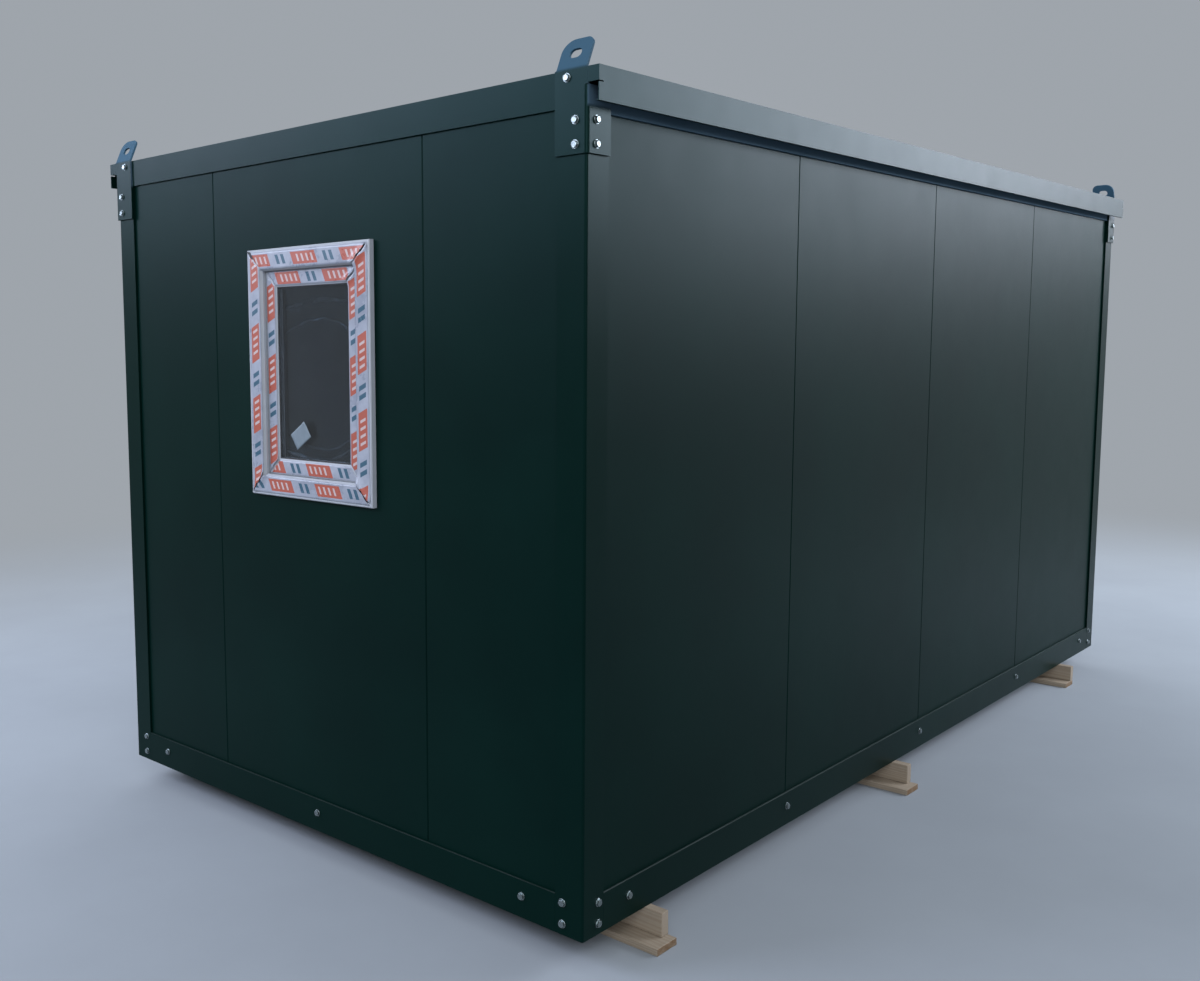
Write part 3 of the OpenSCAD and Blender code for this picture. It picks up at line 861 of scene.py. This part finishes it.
def placeWrap():
    bm = bmesh.new()
    columns, rows = wrap["steps"]
    for window in windows.values():
        halfWidth, halfHeight = (side / 2 - wrap["inset"] for side in window["paneSize"])
        depth = window["paneDepth"] + 2 * glazing["pane"] + glazing["gap"] + wrap["behind"]

        def spotAt(i, j):
            x, y = (2 * i / columns - 1) * halfWidth, (2 * j / rows - 1) * halfHeight
            rise = noise.noise(Vector((x * 4, y * 9, 3.3))) * wrap["bulge"]
            return window["place"] @ Vector((x, y, rise - depth)), None

        addSheet(bm, columns, rows, spotAt)
    makePiece("clear_wrap", bm, wrapFinish(), smooth=True)
    print("clear wrap hung behind the glass")


placeFilm()
placeGlazing()
placeLabel()
placeWrap()


timber = {
    "pale": (0.37, 0.305, 0.23),
    "brown": (0.235, 0.165, 0.105),
    "stain": (0.23, 0.19, 0.15),
    "knot": (0.15, 0.075, 0.035),
    "ends": {"bearer_boards": (0.30, 0.243, 0.182), "bearer_planks": (0.165, 0.097, 0.047)},
    "seeds": {"bearer_boards": 3.0, "bearer_planks": 8.0},
    "ringScale": 42.0,
    "ringWarp": 0.035,
    "fibre": (700, 14, 700),            # how tightly the fibres run along each axis
    "knotScale": 6.0,
    "roughness": (0.6, 0.85),
    "edge": 0.0035,
    "wear": 0.0012,
    "sawnEnd": 0.0009,
    "cuts": ((1, 0.03), (0, 0.02), (2, 0.02)),  # axis and spacing of the cuts that the wear bends
}


def timberFinish(name, seed, endTone):
    # Sawn softwood: grain along Y, with rings on the ends and a few knots
    material, tree, shader = newMaterial(name)
    point = objectPoint(tree)
    moved = vectorCalc(tree, "ADD", {0: point, 1: (seed * 0.37, seed * 0.61, seed * 0.23)}).outputs[0]
    stretched = vectorCalc(tree, "MULTIPLY", {0: moved, 1: (1.0, 0.05, 1.0)}).outputs[0]
    warp = addNode(tree, "ShaderNodeTexNoise", {"Vector": stretched, "Scale": 14.0, "Detail": 2.0})
    small = vectorCalc(tree, "SCALE", {0: warp.outputs["Color"], "Scale": timber["ringWarp"]})
    bend = vectorCalc(tree, "ADD", {0: stretched, 1: small.outputs[0]})
    rings = addNode(tree, "ShaderNodeTexWave", {"Vector": bend.outputs[0], "Distortion": 3.0,
                                                "Scale": timber["ringScale"], "Detail": 2.0},
                    wave_type="RINGS", rings_direction="Y").outputs["Fac"]
    fibre = grain(tree, objectPoint(tree, timber["fibre"]), 1.0, 3.0, 0.6)
    drawn = vectorCalc(tree, "MULTIPLY", {0: moved, 1: (1.0, 0.45, 1.0)}).outputs[0]
    knots = addNode(tree, "ShaderNodeTexVoronoi", {"Vector": drawn, "Scale": timber["knotScale"]})
    knot = calc(tree, "MULTIPLY", remap(tree, knots.outputs["Distance"], 0.14, 0.06), 0.8)
    blotch = grain(tree, point, 7.0, 4.0, 0.6)
    onEnd = calc(tree, "MULTIPLY",
                 remap(tree, calc(tree, "ABSOLUTE", facing(tree, "Y", "True Normal")), 0.6, 0.9),
                 remap(tree, grain(tree, point, 30.0, 4.0, 0.6), 0.3, 0.6, 0.45, 1.0))
    colour = blendColours(tree, remap(tree, rings, 0.25, 0.85, 0.0, 0.35), timber["pale"],
                          timber["brown"])
    for amount, tone in ((remap(tree, fibre, 0.35, 0.7, 0.0, 0.25), timber["brown"]),
                         (remap(tree, blotch, 0.5, 0.8, 0.0, 0.5), timber["stain"]),
                         (knot, timber["knot"]), (onEnd, endTone)):
        colour = blendColours(tree, amount, colour, tone)
    setInputs(tree, shader, {
        "Base Color": colour,
        "Roughness": remap(tree, fibre, 0.2, 0.8, *timber["roughness"]),
        "Normal": addBump(tree, fibre, 0.0008, 0.6, addBump(tree, rings, 0.0008, 0.4)),
        "Specular IOR Level": 0.3,
    })
    return material


def timberBoxes(nodeName):
    # Low and high corner of each bearer's piece, read from the node's own vertices
    spots = [vertex.co for vertex in nodes[nodeName].data.vertices]
    xs = sorted({round(spot.x, 4) for spot in spots})
    boxes = []
    for left, right in zip(xs[::2], xs[1::2]):
        own = [spot for spot in spots if left - 0.0002 < spot.x < right + 0.0002]
        boxes.append([Vector(pick(spot[k] for spot in own) for k in range(3)) for pick in (min, max)])
    return boxes


def addTimber(bm, low, high, seed):
    # A sawn length with eased edges and a slightly uneven surface, inside the given box
    part = bmesh.new()
    size = high - low
    bmesh.ops.create_cube(part, size=1.0, matrix=Matrix.Translation((low + high) / 2)
                          @ Matrix.Diagonal((*size, 1)))
    bmesh.ops.bevel(part, geom=list(part.edges), offset=timber["edge"], segments=2, profile=0.6,
                    affect="EDGES")
    for axis, gap in timber["cuts"]:
        normal = Vector([1.0 if k == axis else 0.0 for k in range(3)])
        count = max(1, int(size[axis] / gap))
        for k in range(1, count):
            bmesh.ops.bisect_plane(part, geom=list(part.verts) + list(part.edges) + list(part.faces),
                                   plane_co=low + normal * size[axis] * k / count, plane_no=normal)
    part.normal_update()
    for vertex in part.verts:
        x, y, z = vertex.co
        depth = 0.5 + 0.5 * noise.noise(Vector((x * 30 + seed, y * 9, z * 30)))
        onEnd = min(y - low.y, high.y - y) < timber["edge"]
        rough = noise.noise(Vector((x * 220, seed, z * 220))) if onEnd else 0.0
        worn = timber["wear"] * depth + timber["sawnEnd"] * max(0.0, rough)
        vertex.co -= vertex.normal * worn
    mesh = bpy.data.meshes.new("timberPart")
    part.to_mesh(mesh)
    part.free()
    bm.from_mesh(mesh)
    bpy.data.meshes.remove(mesh)


def placeTimber():
    for nodeName, seed in timber["seeds"].items():
        bm = bmesh.new()
        for number, (low, high) in enumerate(timberBoxes(nodeName)):
            addTimber(bm, low, high, seed + 5 * number)
        finish = timberFinish("sawn timber " + nodeName, seed, timber["ends"][nodeName])
        piece = makePiece("sawn_" + nodeName, bm, finish)
        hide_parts(nodeName)
    print("timber bearers made")


placeTimber()


roofFixing = {
    "size": 0.42,                       # against a frame bolt
    "middleRows": (-0.42, 0.42),
    "edgeInset": 0.030,
}


def placeRoofScrews():
    roof = nodes["roof_sheet"].data.vertices
    crown = max(vertex.co.z for vertex in roof)
    xs = sorted({round(vertex.co.x, 4) for vertex in roof if vertex.co.z > crown - 0.0005})
    ribs = [(left + right) / 2 for left, right in zip(xs[::2], xs[1::2])]
    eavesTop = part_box("eaves_front")[1].z
    edge = postHigh.y - roofFixing["edgeInset"]
    rows = [(side * edge, eavesTop) for side in (-1, 1)]
    rows += [(y, crown) for y in roofFixing["middleRows"]]
    random.seed(3)
    bm = bmesh.new()
    for x in ribs:
        for y, z in rows:
            addBolt(bm, (x, y, z), (0, 0, 1), random.uniform(0, math.pi), roofFixing["size"])
    makePiece("roof_screws", bm, finishes["bolt"])
    print("roof screws placed:", len(ribs) * len(rows))


door = {
    "hingeHeights": (0.25, 1.05, 1.80),    # over the leaf's foot
    "hingeHeight": 0.10,
    "hingeRadius": 0.008,
    "hingeInset": 0.004,                # from the leaf's edge
    "hingeOut": 0.8,                    # of its radius, from the leaf's face
    "knuckles": 3,
    "knuckleGap": 0.001,
    "lockInset": 0.015,                 # from the handles' near end
    "lockDrop": 0.075,
    "lockRadius": 0.009,
    "lockOut": 0.010,
    "segments": 20,
    "ease": 0.18,                       # of a bar's radius, at its ends
    "sealOut": 0.004,                   # wider and taller than the leaf
    "seal": ((0.0, -0.012), (0.0, -0.001), (0.0035, -0.001), (0.0035, -0.012)),
}


def addTube(bm, start, end, radius):
    # Round bar with eased ends
    axis = Vector(end) - Vector(start)
    turn = axis.to_track_quat("Z", "Y").to_matrix()
    length = axis.length
    ease = radius * door["ease"]
    profile = ((radius - ease, 0), (radius, ease), (radius, length - ease), (radius - ease, length))
    joinRings(bm, [ringRound(bm, start, turn, door["segments"], lambda angle: spot)
                   for spot in profile])


def placeDoorFittings():
    leafLow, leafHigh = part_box("door_leaf")
    handleLow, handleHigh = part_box("door_handles")
    knuckle = door["hingeHeight"] / door["knuckles"]
    x = leafHigh.x - door["hingeInset"]
    y = leafHigh.y + door["hingeRadius"] * door["hingeOut"]
    bm = bmesh.new()
    for height in door["hingeHeights"]:
        for number in range(door["knuckles"]):
            start = leafLow.z + height + number * knuckle
            addTube(bm, (x, y, start), (x, y, start + knuckle - door["knuckleGap"]),
                    door["hingeRadius"])
    lockX = handleLow.x + door["lockInset"]
    lockZ = (handleLow.z + handleHigh.z) / 2 - door["lockDrop"]
    addTube(bm, (lockX, leafHigh.y, lockZ), (lockX, leafHigh.y + door["lockOut"], lockZ),
            door["lockRadius"])
    makePiece("door_fittings", bm, finishes["metal"])

    size = (leafHigh.x - leafLow.x + door["sealOut"], leafHigh.z - leafLow.z + door["sealOut"])
    centre = ((leafLow.x + leafHigh.x) / 2, leafHigh.y, (leafLow.z + leafHigh.z) / 2)
    axes = Matrix(((-1, 0, 0), (0, 0, 1), (0, 1, 0))).to_4x4()    # seen from outside, as on a window
    seal = bmesh.new()
    addRing(seal, Matrix.Translation(centre) @ axes, size, door["seal"])
    makePiece("door_seal", seal, finishes["rubber"])
    print("door fittings placed")


placeRoofScrews()
placeDoorFittings()


studio = {
    "floor": (0.325, 0.35, 0.375),
    "mottle": 0.04,                     # how much lighter or darker the floor's clouds are
    "fade": (1.2, 7.5),                 # from the cabin, where the floor turns into the backdrop
    "radius": 160.0,
    "backdrop": (0.345, 0.375, 0.41),
    "overhead": (0.40, 0.44, 0.49),
    "overheadFrom": (0.30, 0.80),       # upward part of the direction, from none to all
    "lamp": (0.93, 0.98, 1.06),         # of the softboxes that have no colour of their own
}


def makeFloor():
    material, tree, shader = newMaterial("studio floor")
    point = objectPoint(tree)
    toCorner = (postHigh.x, postHigh.y, 0.0)
    outside = vectorCalc(tree, "ABSOLUTE", {0: point}).outputs[0]
    outside = vectorCalc(tree, "SUBTRACT", {0: outside, 1: toCorner}).outputs[0]
    outside = vectorCalc(tree, "MAXIMUM", {0: outside, 1: (0.0, 0.0, 0.0)}).outputs[0]
    distance = vectorCalc(tree, "LENGTH", {0: outside}).outputs["Value"]
    far = addNode(tree, "ShaderNodeMapRange", {
        "Value": distance, "From Min": studio["fade"][0], "From Max": studio["fade"][1]},
        interpolation_type="SMOOTHSTEP").outputs["Result"]
    cloud = grain(tree, point, 0.9, 6.0, 0.6)
    dark, pale = (tuple(share * tone for tone in studio["floor"])
                  for share in (1 - studio["mottle"], 1 + studio["mottle"]))
    near = blendColours(tree, remap(tree, cloud, 0.3, 0.7), dark, pale)
    setInputs(tree, shader, {
        "Base Color": blendColours(tree, far, near, (0.0, 0.0, 0.0)),
        "Emission Color": studio["backdrop"],
        "Emission Strength": far,
        "Normal": addBump(tree, grain(tree, point, 60.0, 4.0), 0.0006, 0.2),
        "Roughness": 0.9,
        "Specular IOR Level": 0.0,
    })
    bm = bmesh.new()
    bmesh.ops.create_circle(bm, cap_ends=True, segments=96, radius=studio["radius"])
    mesh = bpy.data.meshes.new("studio_floor")
    bm.to_mesh(mesh)
    bm.free()
    mesh.materials.append(material)
    floor = bpy.data.objects.new("studio_floor", mesh)
    bpy.context.scene.collection.objects.link(floor)


def makeWorld():
    world = bpy.data.worlds.new("studio")
    bpy.context.scene.world = world
    world.use_nodes = True
    tree = world.node_tree
    direction = addNode(tree, "ShaderNodeTexCoord").outputs["Generated"]
    amount = remap(tree, axesOf(tree, direction)["Z"], *studio["overheadFrom"])
    tree.links.new(blendColours(tree, amount, studio["backdrop"], studio["overhead"]),
                   tree.nodes["Background"].inputs["Color"])


softboxes = {
    "front": {"centre": (10.0, -6.0, 4.7), "size": (16.0, 2.6), "aim": (10.0, 0.0, 2.2),
              "radiance": 10.0, "colour": (0.91, 0.98, 1.13)},
    "left": {"centre": (-7.5, 7.0, 4.9), "size": (11.0, 2.4), "aim": (0.0, 7.0, 2.2),
             "radiance": 7.8, "colour": (0.93, 1.02, 1.31)},
    "top": {"centre": (-4.0, 3.0, 8.0), "size": (10.0, 8.0), "aim": (-4.0, 3.0, 0.0), "radiance": 0.7},
    "rear": {"centre": (5.0, 6.5, 4.9), "size": (16.0, 2.4), "aim": (5.0, 0.0, 2.2), "radiance": 2.0},
    "right": {"centre": (7.8, 6.0, 4.9), "size": (14.0, 2.4), "aim": (0.0, 6.0, 2.2), "radiance": 2.0},
    "fill": {"centre": (-9.0, -7.0, 6.0), "size": (6.0, 6.0), "aim": (-2.4, -1.2, 1.2), "radiance": 4.5},
}


def makeSoftboxes():
    for name, box in softboxes.items():
        light = bpy.data.lights.new(name + " softbox", "AREA")
        light.shape = "RECTANGLE"
        light.size, light.size_y = box["size"]
        light.color = box.get("colour", studio["lamp"])
        light.energy = box["radiance"] * math.pi * box["size"][0] * box["size"][1]
        lamp = bpy.data.objects.new(name + "_softbox", light)
        away = Vector(box["centre"]) - Vector(box["aim"])
        turn = away.to_track_quat("Z", "Y").to_matrix().to_4x4()
        lamp.matrix_world = Matrix.Translation(box["centre"]) @ turn
        lamp.visible_camera = False
        bpy.context.scene.collection.objects.link(lamp)


view = {
    "position": (-5.2314, -3.3115, 1.8998),
    "azimuth": 45.050,                  # clockwise from +Y
    "elevation": -6.047,
    "roll": -0.538,
    "lens": 36.213,
    "sensor": 36.0,
    "shift": (0.15341, -0.01618),       # the photograph is cropped off its lens's centre
    "farthest": 500.0,
}


def makeCamera():
    data = bpy.data.cameras.new("photo camera")
    data.sensor_width = view["sensor"]
    data.lens = view["lens"]
    data.shift_x, data.shift_y = view["shift"]
    data.clip_end = view["farthest"]
    camera = bpy.data.objects.new("photo_camera", data)
    turn = (Matrix.Rotation(math.radians(-view["azimuth"]), 4, "Z")
            @ Matrix.Rotation(math.radians(90 + view["elevation"]), 4, "X")
            @ Matrix.Rotation(math.radians(view["roll"]), 4, "Z"))
    camera.matrix_world = Matrix.Translation(view["position"]) @ turn
    bpy.context.scene.collection.objects.link(camera)
    bpy.context.scene.camera = camera


makeFloor()
makeWorld()
makeSoftboxes()
makeCamera()
bpy.context.scene.view_settings.view_transform = "Standard"
print("studio, lights and camera ready")
